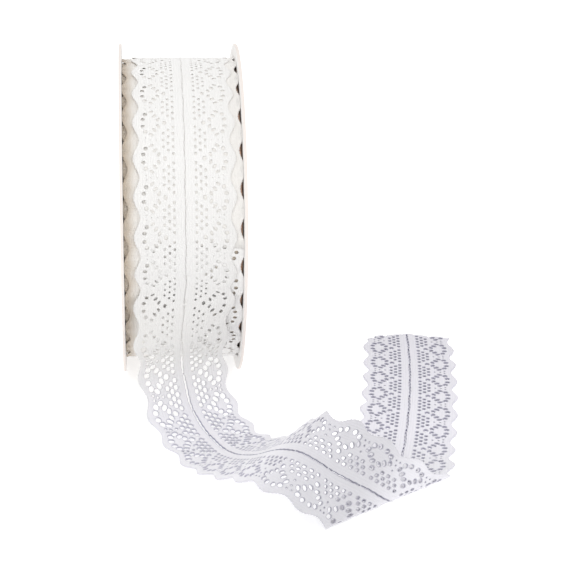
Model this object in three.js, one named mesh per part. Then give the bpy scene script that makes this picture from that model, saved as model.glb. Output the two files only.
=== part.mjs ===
// Spool of scalloped lace trim: two thin card discs, the wound roll between them,
// and the loose end that hangs down the front, twists, is folded under and lies on the table.
// Millimetres, +Z up. The discs' axis runs along X and the loose end comes off the front, at -Y.

import * as THREE from "three";
import { mergeVertices } from "three/addons/utils/BufferGeometryUtils.js";

// Card discs
const DISC_RADIUS = 60;
const DISC_THICKNESS = 1;
const DISC_GAP = 40.7;
const FLAT_SPOT_HALF = 6;
const DISC_SEGMENTS = 96;
const AXLE_HEIGHT = Math.sqrt(DISC_RADIUS ** 2 - FLAT_SPOT_HALF ** 2);

// The trim
const TRIM_WIDTH = 35.2;
const HALF = TRIM_WIDTH / 2;
const PITCH = 13.5;
const SCALLOP_DEPTH = 2.1;
const SHEET = 1;
const CLEARANCE = 0.3;

// The wound roll
const SCALLOPS_PER_TURN = 25;
const OUTER_RADIUS = 55.3;
const TURN_RISE = 1.3;
const OUTER_TURN_X = 0.6;
const INNER_TURNS_RADIUS = 53.4;
const INNER_TURNS_LEFT = 18.6;
const INNER_TURNS_RIGHT = 20;
const INNER_SCALLOP_DEPTH = 1.6;
const INNER_PHASE = 0.4;
const DEEP_TURNS_RADIUS = 47;
const DEEP_TURNS_HALF = DISC_GAP / 2 - CLEARANCE;
const STEP_TURN = 0.6 / 360;
const LEAVING_ROW = -0.16;

// The fold near the end of the trim
const FOLD_CORNER = new THREE.Vector3(41, -132.3, SHEET / 2);
const FOLD_HEADING = 34;
const FOLD_ANGLE = 39;
const FOLD_OPENING = 62;
const FOLD_ROW = 12;
const FOLD_START = FOLD_ROW + 0.05;

// How far the lace's pattern falls behind where the trim turns over its crest, in rows
const TURN_START = 10;
const TURN_END = 12.3;
const CREST_LAG = 0.68;
const CREST_SHEAR = 0.5;
const END_LAG = 0.45;
const SETTLE_BEFORE = 0.6;
const SETTLE_AFTER = 2;

// How the right-hand edge stands proud beside the crest
const PROUD_HEIGHT = 3;
const PROUD_ROW = 12.4;

// The flat end piece
const FLAT_ROW = 16.5;
const LAST_ROW = 23.2;
const END_TURN = 11;

// Fineness of the sheet
const STEPS_PER_PITCH = 6;
const COLUMNS = 6;
const SMALL_STEP = 0.01;
const WELD = 1e-5;

// One row per scallop, from where the trim leaves the roll to just before the fold.
// x, y, z: middle of the trim. heading, rise: where its right-hand edge points, in degrees.
const SECTIONS = [
  { name: "leaves_roll", x: 0.7, y: -55.1, z: 57.5, heading: 0.6, rise: 0 },
  { name: "hang_1", x: 0.0, y: -56.5, z: 44.0, heading: 11, rise: 0 },
  { name: "hang_2", x: -1.0, y: -55.0, z: 30.6, heading: 19, rise: -2 },
  { name: "hang_3", x: -0.4, y: -53.8, z: 17.3, heading: 24, rise: -4 },
  { name: "land_1", x: 2.7, y: -58.0, z: 5.2, heading: 25, rise: -3 },
  { name: "land_2", x: 7.9, y: -68.6, z: 0.9, heading: 26, rise: 0 },
  { name: "flat", x: 13.2, y: -80.2, z: 1.1, heading: 28, rise: 2 },
  { name: "rise_1", x: 18.0, y: -91.2, z: 5.0, heading: 31, rise: 6 },
  { name: "rise_2", x: 22.6, y: -101.5, z: 10.8, heading: 35, rise: 11 },
  { name: "rise_3", x: 27.0, y: -110.8, z: 17.2, heading: 40, rise: 17 },
  { name: "crest", x: 32.6, y: -119.6, z: 21.6, heading: 46, rise: 26 },
  { name: "fall", x: 39.7, y: -122.3, z: 18.9, heading: 58, rise: 32 },
];

const X_AXIS = new THREE.Vector3(1, 0, 0);
const Z_AXIS = new THREE.Vector3(0, 0, 1);
const radians = THREE.MathUtils.degToRad;

// Height of the scalloped edge below its peaks, from 0 on a peak to 1 in a valley
function scallop(row) {
  return Math.sin(Math.PI * row) ** 2;
}

// A unit vector from a heading in the table plane and a rise above it
function direction(heading, rise) {
  const flat = Math.cos(radians(rise));
  return new THREE.Vector3(
    flat * Math.cos(radians(heading)),
    flat * Math.sin(radians(heading)),
    Math.sin(radians(rise)),
  );
}

// The plane of the last stretch before the fold: along is the way the trim runs, across is
// the way its right-hand edge points, and crease is the line on the table that it folds on.
const crease = direction(FOLD_HEADING, 0);
const uphill = new THREE.Vector3()
  .crossVectors(Z_AXIS, crease)
  .multiplyScalar(Math.cos(radians(FOLD_OPENING)))
  .addScaledVector(Z_AXIS, Math.sin(radians(FOLD_OPENING)));
const along = crease
  .clone()
  .multiplyScalar(Math.cos(radians(FOLD_ANGLE)))
  .addScaledVector(uphill, -Math.sin(radians(FOLD_ANGLE)));
const across = crease
  .clone()
  .multiplyScalar(Math.sin(radians(FOLD_ANGLE)))
  .addScaledVector(uphill, Math.cos(radians(FOLD_ANGLE)));
const CREASE_RUN = HALF / Math.tan(radians(FOLD_ANGLE));

// The row, in pitches, at which the crease crosses the trim at u, from -1 (left) to 1 (right)
function creaseRow(u) {
  return FOLD_START + ((u + 1) * CREASE_RUN) / PITCH;
}

// The row of the lace pattern at a place on the sheet. The lace is sheared where the trim turns
// over its crest, most on the right, and it settles again past the fold.
function patternRow(u, row) {
  const atCrest = CREST_LAG + CREST_SHEAR * u;
  const fold = creaseRow(u);
  const settled = THREE.MathUtils.smoothstep(row, fold - SETTLE_BEFORE, fold + SETTLE_AFTER);
  const turned = THREE.MathUtils.smoothstep(row, TURN_START, TURN_END);
  return row - atCrest * turned + (atCrest - END_LAG) * settled;
}

function beforeFold(u, row) {
  return FOLD_CORNER.clone()
    .addScaledVector(along, (row - FOLD_START) * PITCH)
    .addScaledVector(across, (u + 1) * HALF);
}

// The end piece lies on the table and bends steadily, flat, as soft lace does
function afterFold(u, row) {
  const start = radians(FOLD_HEADING + FOLD_ANGLE);
  const middle = FOLD_CORNER.clone().addScaledVector(crease, HALF / Math.sin(radians(FOLD_ANGLE)));
  const length = (LAST_ROW - FOLD_START) * PITCH - CREASE_RUN;
  const rate = radians(END_TURN) / length;
  const run = (row - FOLD_START) * PITCH - CREASE_RUN;
  const heading = start + rate * Math.max(run, 0);
  if (run < 0) {
    middle.x += run * Math.cos(start);
    middle.y += run * Math.sin(start);
  } else {
    middle.x += (Math.sin(heading) - Math.sin(start)) / rate;
    middle.y -= (Math.cos(heading) - Math.cos(start)) / rate;
  }
  return new THREE.Vector3(
    middle.x + u * HALF * Math.sin(heading),
    middle.y - u * HALF * Math.cos(heading),
    SHEET / 2,
  );
}

// The two edges before the fold, as smooth curves through one point per scallop.
// Each starts one scallop back on the roll and ends one past the last section.
function edgeCurve(side) {
  const radius = OUTER_RADIUS - SHEET / 2;
  const back = radians((360 * (1 + LEAVING_ROW)) / SCALLOPS_PER_TURN);
  const onRoll = new THREE.Vector3(
    OUTER_TURN_X + side * HALF,
    -radius * Math.cos(back),
    AXLE_HEIGHT + radius * Math.sin(back),
  );
  const points = [onRoll];
  for (const section of SECTIONS) {
    const middle = new THREE.Vector3(section.x, section.y, section.z);
    points.push(middle.addScaledVector(direction(section.heading, section.rise), side * HALF));
  }
  points.push(beforeFold(side, FOLD_ROW), beforeFold(side, FOLD_ROW + 1));
  return new THREE.CatmullRomCurve3(points, false, "catmullrom");
}

const leftEdge = edgeCurve(-1);
const rightEdge = edgeCurve(1);

// Extra height of the right-hand side, which stands proud where the trim turns over its crest
function proud(u, row) {
  return PROUD_HEIGHT * ((u + 1) / 2) ** 2 * Math.exp(-((row - PROUD_ROW) ** 2));
}

// A point on the middle of the trim's thickness
function trimPoint(u, row) {
  if (row > creaseRow(u)) {
    return afterFold(u, row);
  }
  if (row >= FOLD_ROW) {
    const point = beforeFold(u, row);
    point.z += proud(u, row);
    return point;
  }
  const t = (row + 1) / (leftEdge.points.length - 1);
  const point = leftEdge.getPoint(t).lerp(rightEdge.getPoint(t), (u + 1) / 2);
  point.z = Math.max(point.z, SHEET / 2) + proud(u, row);
  return point;
}

// The rows of the sheet, each with its place on the left and on the right edge.
// Near the fold they lean over until one lies along the crease, and then straighten up.
function sheetRows() {
  const rows = [];
  const stretch = (left0, right0, left1, right1) => {
    const steps = Math.ceil(Math.max(left1 - left0, right1 - right0) * STEPS_PER_PITCH);
    for (let i = 0; i < steps; i += 1) {
      const t = i / steps;
      rows.push({
        left: THREE.MathUtils.lerp(left0, left1, t),
        right: THREE.MathUtils.lerp(right0, right1, t),
      });
    }
  };
  const start = LEAVING_ROW + CLEARANCE / PITCH;
  stretch(start, start, FOLD_ROW, FOLD_ROW);
  stretch(FOLD_ROW, FOLD_ROW, FOLD_START, creaseRow(1));
  rows.push({ left: FOLD_START, right: creaseRow(1), crease: true });
  const past = 1 / STEPS_PER_PITCH;
  stretch(FOLD_START + past, creaseRow(1) + past, FLAT_ROW, FLAT_ROW);
  stretch(FLAT_ROW, FLAT_ROW, LAST_ROW, LAST_ROW);
  rows.push({ left: LAST_ROW, right: LAST_ROW });
  return rows;
}

// The two points, above and below the middle of the sheet, at one place of a row
function sheetPair(row, column) {
  const v = (column / COLUMNS) * 2 - 1;
  const place = THREE.MathUtils.lerp(row.left, row.right, column / COLUMNS);
  const u = v * (1 - (SCALLOP_DEPTH / HALF) * scallop(patternRow(v, place)));
  if (row.crease) {
    const onCrease = FOLD_CORNER.clone().addScaledVector(
      crease,
      ((u + 1) * HALF) / Math.sin(radians(FOLD_ANGLE)),
    );
    const half = radians(FOLD_OPENING / 2);
    const inward = new THREE.Vector3()
      .crossVectors(Z_AXIS, crease)
      .multiplyScalar(Math.cos(half))
      .addScaledVector(Z_AXIS, Math.sin(half));
    const mitre = SHEET / 2 / Math.sin(half);
    return [
      onCrease.clone().addScaledVector(inward, -mitre),
      onCrease.clone().addScaledVector(inward, mitre),
    ];
  }
  const point = trimPoint(u, place);
  const forward = trimPoint(u, place + SMALL_STEP).sub(trimPoint(u, place - SMALL_STEP));
  const sideways = trimPoint(u + SMALL_STEP, place).sub(trimPoint(u - SMALL_STEP, place));
  const normal = new THREE.Vector3().crossVectors(sideways, forward).normalize();
  return [
    point.clone().addScaledVector(normal, -SHEET / 2),
    point.clone().addScaledVector(normal, SHEET / 2),
  ];
}

// The triangles between neighbouring rows of points, and of the last row to the first where
// the rows go round. Each row may itself be a ring.
function skin(rows, rowsGoRound, ring) {
  const count = rows[0].length;
  const index = [];
  for (let i = 0; i < rows.length - (rowsGoRound ? 0 : 1); i += 1) {
    const next = (i + 1) % rows.length;
    for (let j = 0; j < count - (ring ? 0 : 1); j += 1) {
      const k = (j + 1) % count;
      const a = i * count + j;
      const b = i * count + k;
      const c = next * count + k;
      const d = next * count + j;
      index.push(a, b, c, a, c, d);
    }
  }
  return index;
}

function surface(points, index) {
  const geometry = new THREE.BufferGeometry();
  geometry.setFromPoints(points);
  geometry.setIndex(index);
  return geometry;
}

function looseEnd() {
  const rings = sheetRows().map((row) => {
    const pairs = [];
    for (let column = 0; column <= COLUMNS; column += 1) {
      pairs.push(sheetPair(row, column));
    }
    const back = pairs.map((pair) => pair[1]);
    const front = pairs.map((pair) => pair[0]).reverse();
    return [...back, ...front];
  });
  const index = skin(rings, false, true);
  const count = rings[0].length;
  const endRing = (rings.length - 1) * count;
  for (let column = 0; column < COLUMNS; column += 1) {
    const a = column;
    const b = column + 1;
    const c = count - 2 - column;
    const d = count - 1 - column;
    index.push(a, c, b, a, d, c);
    index.push(endRing + a, endRing + b, endRing + c, endRing + a, endRing + c, endRing + d);
  }
  return surface(rings.flat(), index);
}

// The roll: each ring of points runs over the wound trim from the left side to the right.
// The outer turn rises by one layer around the roll and ends in a step where the trim leaves.
function rollRing(turn) {
  const angle = turn * 2 * Math.PI;
  const row = LEAVING_ROW - turn * SCALLOPS_PER_TURN;
  const radius = OUTER_RADIUS - TURN_RISE * turn;
  const outerHalf = HALF - SCALLOP_DEPTH * scallop(row);
  const innerDip = INNER_SCALLOP_DEPTH * scallop(row + INNER_PHASE);
  const at = (x, r) => new THREE.Vector3(x, -r * Math.cos(angle), r * Math.sin(angle));
  return [
    at(-DEEP_TURNS_HALF, DEEP_TURNS_RADIUS),
    at(innerDip - INNER_TURNS_LEFT, INNER_TURNS_RADIUS),
    at(OUTER_TURN_X - outerHalf, INNER_TURNS_RADIUS),
    at(OUTER_TURN_X - outerHalf, radius),
    at(OUTER_TURN_X + outerHalf, radius),
    at(OUTER_TURN_X + outerHalf, INNER_TURNS_RADIUS),
    at(INNER_TURNS_RIGHT - innerDip, INNER_TURNS_RADIUS),
    at(DEEP_TURNS_HALF, DEEP_TURNS_RADIUS),
  ];
}

function woundRoll() {
  const steps = SCALLOPS_PER_TURN * STEPS_PER_PITCH;
  const rings = [];
  for (let i = 0; i < steps; i += 1) {
    rings.push(rollRing(i === 0 ? STEP_TURN : i / steps));
  }
  rings.push(rollRing(1));
  const index = skin(rings, true, false);
  const count = rings[0].length;
  const left = rings.length * count;
  const right = left + 1;
  for (let i = 0; i < rings.length; i += 1) {
    const next = (i + 1) % rings.length;
    index.push(left, i * count, next * count);
    index.push(right, next * count + count - 1, i * count + count - 1);
  }
  const middles = [
    new THREE.Vector3(-DEEP_TURNS_HALF, 0, 0),
    new THREE.Vector3(DEEP_TURNS_HALF, 0, 0),
  ];
  return surface([...rings.flat(), ...middles], index);
}

// A thin card disc with a small flat spot at the bottom of its rim
function cardDisc() {
  const half = Math.asin(FLAT_SPOT_HALF / DISC_RADIUS);
  const outline = new THREE.Shape();
  outline.absarc(0, 0, DISC_RADIUS, -Math.PI / 2 + half, 1.5 * Math.PI - half, false);
  outline.closePath();
  return new THREE.ExtrudeGeometry(outline, {
    depth: DISC_THICKNESS,
    bevelEnabled: false,
    curveSegments: DISC_SEGMENTS,
  });
}

// Shades with shared corners, so that each piece is one closed body
function piece(name, geometry, material) {
  geometry.deleteAttribute("normal");
  geometry.deleteAttribute("uv");
  const merged = mergeVertices(geometry, WELD);
  merged.computeVertexNormals();
  const mesh = new THREE.Mesh(merged, material);
  mesh.name = name;
  return mesh;
}

const card = new THREE.MeshStandardMaterial({ color: 0xf0e8df, roughness: 0.85, metalness: 0 });
const woundLace = new THREE.MeshStandardMaterial({ color: 0xf8f5f0, roughness: 0.9, metalness: 0 });
const looseLace = new THREE.MeshStandardMaterial({ color: 0xe6e5ec, roughness: 0.9, metalness: 0 });

const model = new THREE.Group();

for (const [name, x] of [
  ["flange_left", -DISC_GAP / 2 - DISC_THICKNESS],
  ["flange_right", DISC_GAP / 2],
]) {
  const disc = piece(name, cardDisc(), card);
  const upright = new THREE.Matrix4().makeBasis(new THREE.Vector3(0, 1, 0), Z_AXIS, X_AXIS);
  disc.quaternion.setFromRotationMatrix(upright);
  disc.position.set(x, 0, AXLE_HEIGHT);
  model.add(disc);
}

const roll = piece("roll", woundRoll(), woundLace);
roll.position.z = AXLE_HEIGHT;
model.add(roll);
model.add(piece("loose_end", looseEnd(), looseLace));

// The origin is the middle of the whole footprint, on the table
model.updateMatrixWorld(true);
const footprint = new THREE.Box3().setFromObject(model).getCenter(new THREE.Vector3());
model.position.set(-footprint.x, -footprint.y, 0);

export default model;
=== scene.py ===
"""Spool of scalloped eyelet lace: two card discs, the wound lace between them and the loose end,
which hangs down the front, twists, is folded under and lies on the table."""

import math

import bpy
import numpy as np
from bpy.props import FloatProperty, FloatVectorProperty, PointerProperty
from bpy.types import Operator, Panel, PropertyGroup
from mathutils import Matrix, Vector, geometry


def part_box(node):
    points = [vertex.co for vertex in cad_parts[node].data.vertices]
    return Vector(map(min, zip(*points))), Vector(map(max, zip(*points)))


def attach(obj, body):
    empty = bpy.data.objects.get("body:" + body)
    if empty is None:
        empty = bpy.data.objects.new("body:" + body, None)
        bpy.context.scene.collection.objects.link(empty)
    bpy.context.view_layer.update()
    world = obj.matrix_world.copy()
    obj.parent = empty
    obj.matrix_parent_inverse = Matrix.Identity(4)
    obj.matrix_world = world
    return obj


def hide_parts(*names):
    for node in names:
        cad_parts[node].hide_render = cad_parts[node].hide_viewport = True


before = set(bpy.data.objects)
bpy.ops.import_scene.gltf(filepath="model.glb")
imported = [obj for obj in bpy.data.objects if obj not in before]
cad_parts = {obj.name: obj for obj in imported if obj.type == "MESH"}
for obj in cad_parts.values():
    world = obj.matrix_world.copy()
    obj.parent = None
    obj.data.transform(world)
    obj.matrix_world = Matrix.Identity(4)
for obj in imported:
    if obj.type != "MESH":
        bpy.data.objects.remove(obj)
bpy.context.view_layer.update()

bl_info = {
    "name": "Spool of Eyelet Lace",
    "version": (1, 0, 0),
    "blender": (4, 5, 0),
    "location": "3D View > Sidebar > Lace Spool",
    "description": "Builds a spool of scalloped eyelet lace with its loose end on the table",
    "category": "Add Mesh",
}

# Lengths below are in millimetres from the point on the table under the middle of the axis
MM = 0.001
left_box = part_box("flange_left")
right_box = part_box("flange_right")
GROUND = np.array(
    [(left_box[0].x + right_box[1].x) / 2, (left_box[0].y + left_box[1].y) / 2, 0.0]
)

# Card discs
DISC_RADIUS = 60.0
DISC_THICKNESS = 1.0
DISC_GAP = 40.7
FLAT_SPOT_HALF = 6.0
DISC_STEPS = 288
DISC_INSETS = (60.0, 40.0, 20.0, 3.0)
LEAST_RADIUS = 0.02
LEAST_SLOPE = 0.01
CORNER_SHARE = 0.3
AXLE_HEIGHT = math.sqrt(DISC_RADIUS**2 - FLAT_SPOT_HALF**2)

# The trim
HALF = 17.6
PITCH = 13.5
SCALLOP_DEPTH = 2.1
REST_HEIGHT = 0.42

# The wound lace
LEAVING_ROW = -0.16
OUTER_RADIUS = 55.05
LAYER_RISE = 0.3
ROWS_PER_TURN = 25
WOUND_PITCH = 2 * math.pi * (OUTER_RADIUS - LAYER_RISE / 2) / ROWS_PER_TURN
WOUND_LIMIT = 20.16
TURN_UP = 0.8
OUTER_ROWS = 26
INNER_ROWS = 90

# The plain body below the turns whose edges show: painted warm brown shade at its sides, in the gaps
# beside the discs, and paler at its middle
DEEP_RADIUS = 53.3
DEEP_SIDE_RADIUS = 53.0
DEEP_INNER_RADIUS = 30.0
DEEP_HALF = 20.0
DEEP_CORNER = (0.1, 0.5)
DEEP_CURVE = 8
DEEP_RINGS = 21
DEEP_STEPS = 200
PALE_HALF = 18.4

# The winding: turns back from the loose end, millimetres to the right, rows slipped back
WANDER = [
    (0.0, 0.6, 0.0),
    (0.42, 0.6, 0.0),
    (0.62, 3.8, -0.33),
    (1.42, 3.8, -0.33),
    (1.52, 2.0, -0.35),
    (1.72, -3.35, -0.35),
    (2.42, -3.35, -0.35),
    (2.62, 2.3, -0.41),
    (3.42, 2.3, -0.41),
    (3.52, 2.0, -0.45),
    (3.72, -3.4, -0.45),
    (4.7, -3.4, -0.45),
]
WANDER_TURNS, WANDER_SHIFTS, WANDER_SLIPS = (list(column) for column in zip(*WANDER))

# The fold near the end of the trim
FOLD_CORNER = np.array([41.0, -132.3, REST_HEIGHT])
FOLD_HEADING = math.radians(34)
FOLD_ANGLE = math.radians(39)
FOLD_OPENING = math.radians(62)
FOLD_ROW = 12.0
FOLD_START = 12.05
FOLD_EASE = 8.0

# How many rows the lace's pattern is behind the sheet, on the roll and over the crest
ROLL_LAG = 0.162
ROLL_LAG_RATE = -0.026
TURN_ROWS = (10.0, 12.3)
CREST_LAG = 0.68
CREST_SHEAR = 0.5
END_LAG = 0.45
SETTLE_ROWS = (-0.6, 2.0)

# How the right-hand side stands proud beside the crest
PROUD_HEIGHT = 3.0
PROUD_ROW = 12.4

# Small waves along the edges of the loose end
RUFFLE_ROWS = (1, 4)
RUFFLE_HEIGHT = 0.55
RUFFLE_RATE = 0.47
RUFFLE_START = 1.7

# The flat end piece
FLAT_ROW = 16.5
LAST_ROW = 23.2
END_TURN = math.radians(11)

# How far below the outer turn's radius the hanging trim starts
START_SINK = 0.25

# One row per scallop up to the fold: x, y, z, then the heading and rise of the right-hand edge
SECTIONS = [
    (0.7, -55.1, 57.5, 0.6, 0),
    (0.0, -54.1, 44.0, 1, 3),
    (-1.0, -55.0, 30.6, 19, -2),
    (-0.4, -53.8, 17.3, 24, -4),
    (2.7, -58.0, 5.2, 25, -3),
    (7.9, -68.6, 0.9, 26, 0),
    (13.2, -80.2, 1.1, 28, 2),
    (18.0, -91.2, 5.0, 31, 6),
    (22.6, -101.5, 10.8, 35, 11),
    (27.0, -110.8, 17.2, 40, 17),
    (32.6, -119.6, 21.6, 46, 26),
    (39.7, -122.3, 18.9, 58, 32),
]

# One scallop's pattern: u from the middle (0) to the edge (1), v from one peak (0) to the next
BLOCK_COLUMNS = [(0.214, 5), (0.307, 4), (0.4, 3)]
BLOCK_SPACING = 0.188
BLOCK_HOLE = (0.54, 0.64)

# Each hole of the ring round a flower: u, v, half width, half length and turn in degrees
FLOWER_HOLES = [
    (0.378, 0.0, 0.78, 0.95, 0),
    (0.497, 0.1, 0.62, 0.98, 24),
    (0.568, 0.215, 0.66, 1.05, 46),
    (0.63, 0.345, 0.6, 0.95, 58),
    (0.79, 0.105, 0.85, 0.78, 12),
    (0.745, 0.265, 0.82, 0.86, 0),
]
PIN_HOLES = [(0.53, 0.5), (0.65, 0.5), (0.74, 0.44)]
PIN_RADIUS = 0.26

# Points round each kind of hole and how square it is
BLOCK_OUTLINE = (8, 0.25)
FLOWER_OUTLINE = (10, 0.0)
PIN_OUTLINE = (6, 0.0)

# The seam between two scallops, which runs between their holes
SEAM = [
    (0.0, 0.0),
    (0.07, 0.0),
    (0.14, 0.0),
    (0.21, 0.0),
    (0.285, 0.0),
    (0.315, -0.07),
    (0.335, -0.12),
    (0.38, -0.135),
    (0.42, -0.12),
    (0.438, -0.07),
    (0.452, -0.02),
    (0.5, 0.0),
    (0.57, 0.0),
    (0.64, 0.0),
    (0.71, 0.0),
    (0.78, 0.0),
    (0.85, 0.0),
    (0.93, 0.0),
    (1.0, 0.0),
]
COARSE_SEAM = [SEAM[i] for i in (0, 3, 7, 12, 14, 16, 18)]
SLIT_HALF = 0.16
SLIT_LEAST = 0.05
SLIT_START = 0.018
SLIT_STEPS = 15
SLIT_SWAY = 0.1
SLIT_TAPER = np.sin(np.pi * np.linspace(0.12, 0.88, SLIT_STEPS)) ** 0.25
EDGE_STEPS = 26
PICOT_DEPTH = 0.11

# Distances between the points of the mesh
THREAD_BAND = 0.34
EDGE_BAND = THREAD_BAND * 1.3
THREAD_SPACING = 0.24
FINE_SPACING = 1.35
COARSE_SPACING = 4.2
MERGE_DISTANCE = 1e-6

# Shares of the spacing: the least distance to another point, and from row to row of the grid
CLEAR_SHARE = 0.42
ROW_SHARE = 0.87

# The step in u and rows that normals are measured over, and the passes that find a row
SHEET_STEP = 0.01
CLOSING_PASSES = 60

# By how much the holes are wider: drawn in on the roll, pulled open where the trim hangs
ROLL_WIDEN = -0.13
LEAVING_WIDEN = -0.19
HANGING_WIDEN = 0.26
LOOSE_WIDENS = [LEAVING_WIDEN] * 2 + [HANGING_WIDEN] * 4 + [0.0] * 16

# How much of the painted rim shade, the shade seen in the holes and along the edges, each kind of edge
# takes
SLIT_RIM = 1.0
HOLE_RIM = 0.6
EDGE_RIM = 0.15

# The cut end: its bulge, its frayed threads and its drawn-back corners
CUT_BULGE = 2.2
CUT_BULGE_WIDTH = 7
CUT_REACH = 0.12
CUT_STEPS = 31
CUT_MARGIN = 0.2
CORNER_BACK = (3.4, 1.6)
CORNER_START = 0.74
CORNER_MARGIN = 0.01
FRAY = 0.25
FRAY_RATE = 1.9

# Where painted shade darkens the edges of the deeper turns beside the discs, across the trim and by rows
# along it
SHADED_EDGE = (12.0, 16.0)
SHADED_ROWS = (-47, -35)

# Rows of the pattern, each with the share of the full colour there: painted shade, darker where the lace
# leaves the roll, over the crest and towards the cut
WOUND_SHADES = [(-OUTER_ROWS, 1.0), (-3, 1.0), (0, 0.91)]
LEAVING_SHADES = [(0, 0.91), (1.2, 0.85), (2.4, 0.81)]
LOOSE_SHADES = [(4.2, 1.0), (9.0, 1.0), (11.0, 0.78), (12.1, 0.78), (13.1, 0.97), (15.0, 0.94)]
END_SHADES = [(17.0, 1.0), (LAST_ROW, 0.87)]

# The share of the painted deep shade's colour in its valleys and at its rims, and of light that spreads in
# the lace
DEEP_SHADE = 0.72
GLOW_THROUGH = 0.4

# Rows between which the lace goes from wound to loose thickness, and from loose to end thickness
THICKNESS_ROWS = (0.0, 3.0, 13.0, 16.0)

# The shine of every surface, and full white
SPECULAR = 0.25
WHITE = (1.0, 1.0, 1.0, 1.0)

# The knit: how far its ribs and stitches sway, and what each adds to its height and tone. The tone that
# follows the relief is painted shade in the knit's valleys; the patches are random tone
SWAY_SCALE = 0.9
RIB_SWAY = 2.4
STITCH_SWAY = 3.0
STITCH_LEAN = 1.6
KNIT_MIDDLE = 0.5
RIB_SHARE = 0.28
STITCH_SHARE = 0.22
FUZZ_SCALE = 2600.0
FUZZ_SHARE = 0.5
PATCH_SCALE = 70.0
PATCH_SHARE = 0.5
KNIT_TONE = 0.75
KNIT_BUMP = 0.45
KNIT_DEPTH = 0.22

# The card's fibres and mottling, and where the colour of its cut rim starts
FIBRE_SCALE = 1500.0
FIBRE_SHARE = 0.5
FIBRE_BUMP = 0.25
FIBRE_DEPTH = 0.1
MOTTLE_SCALE = 90.0
MOTTLE_SHARE = 0.5
RIM_START = 59.2

# Floor, lights and camera, in metres and degrees
FLOOR_HALF = 3.0
FLOOR_SINK = 0.0002
FLOOR_SCALE = 8.0
FLOOR_SHADE = 0.985
KEY_PLACE = (-0.35, -0.75, 0.95)
KEY_SIZE = 0.7
KEY_COLOUR = (1.0, 0.99, 0.97)
FILL_PLACE = (0.9, -0.3, 0.5)
FILL_SIZE = 0.8
FILL_COLOUR = (0.96, 0.97, 1.0)
FILL_SHARE = 0.35
LAMP_TARGET = (0.01, -0.03, 0.05)
CAMERA_PLACE = (-0.0155, -0.559, 0.2613)
CAMERA_TURN = (5.78, 22.65, 1.37)
SENSOR_WIDTH = 36

PATTERN_MAP = "lace_pattern"
# The attribute with each point's share of painted rim shade, the shade seen in the holes and along the
# edges
RIM_SHADE_MAP = "hole_wall"


def smoothstep(value, low, high):
    """A smooth rise from 0 at the low value to 1 at the high one."""
    t = np.clip((value - low) / (high - low), 0, 1)
    return t * t * (3 - 2 * t)


def direction(heading, rise):
    """A unit vector from a heading in the table plane and a rise above it, in radians."""
    flat = math.cos(rise)
    return np.array([flat * math.cos(heading), flat * math.sin(heading), math.sin(rise)])


# Directions at the fold: the crease on the table, and the way the folded-under part runs
UP = np.array([0.0, 0.0, 1.0])
CREASE = direction(FOLD_HEADING, 0)
AWAY = np.cross(UP, CREASE)
UPHILL = AWAY * math.cos(FOLD_OPENING) + UP * math.sin(FOLD_OPENING)
CREASE_RUN = HALF / math.tan(FOLD_ANGLE)


def plane_coordinates(u, row):
    """Place on the trim laid flat: along the crease, and how far past it."""
    along = (row - FOLD_START) * PITCH
    across = (u + 1) * HALF
    sine, cosine = math.sin(FOLD_ANGLE), math.cos(FOLD_ANGLE)
    return along * cosine + across * sine, along * sine - across * cosine


def end_piece(u, row):
    """The end of the trim lies on the table and bends steadily, flat."""
    start = FOLD_HEADING + FOLD_ANGLE
    middle = FOLD_CORNER + CREASE * HALF / math.sin(FOLD_ANGLE)
    length = (LAST_ROW - FOLD_START) * PITCH - CREASE_RUN
    rate = END_TURN / length
    run = (row - FOLD_START) * PITCH - CREASE_RUN
    bent = np.maximum(run, 0)
    straight = np.minimum(run, 0)
    heading = start + rate * bent
    x = middle[0] + straight * math.cos(start) + (np.sin(heading) - math.sin(start)) / rate
    y = middle[1] + straight * math.sin(start) - (np.cos(heading) - math.cos(start)) / rate
    x = x + u * HALF * np.sin(heading)
    y = y - u * HALF * np.cos(heading)
    return np.stack([x, y, np.full_like(x, REST_HEIGHT)], axis=-1)


def folded(u, row, radius):
    """The stretch that rises to the crest, the rounded fold and the end piece beyond it."""
    c, d = plane_coordinates(u, row)
    base = FOLD_CORNER + c[:, None] * CREASE
    uphill = base - d[:, None] * UPHILL
    laid = base + d[:, None] * AWAY
    half = FOLD_OPENING / 2
    inward = AWAY * math.cos(half) + UP * math.sin(half)
    outward = AWAY * math.sin(half) - UP * math.cos(half)
    tangent = radius / math.tan(half)
    swing = np.clip(d / tangent, -1, 1) * (math.pi / 2 - half)
    arc = radius * (outward * np.sin(swing)[:, None] - inward * np.cos(swing)[:, None])
    rounded = base + inward * radius / math.sin(half) + arc
    past = np.where((d > tangent)[:, None], laid, rounded)
    point = np.where((d < -tangent)[:, None], uphill, past)
    ease = smoothstep(d, tangent, tangent + FOLD_EASE)[:, None]
    return point * (1 - ease) + end_piece(u, row) * ease


def smooth_curve(points, t):
    """A smooth curve through the points, at t counted in points from the first."""
    first = 2 * points[0] - points[1]
    last = 2 * points[-1] - points[-2]
    padded = np.vstack([first, points, last])
    i = np.clip(np.floor(t).astype(int), 0, len(points) - 2)
    w = (t - i)[:, None]
    p0, p1, p2, p3 = (padded[i + k] for k in range(4))
    v0 = (p2 - p0) / 2
    v1 = (p3 - p1) / 2
    cubic = (2 * p1 - 2 * p2 + v0 + v1) * w**3
    square = (-3 * p1 + 3 * p2 - 2 * v0 - v1) * w**2
    return cubic + square + v0 * w + p1


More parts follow.
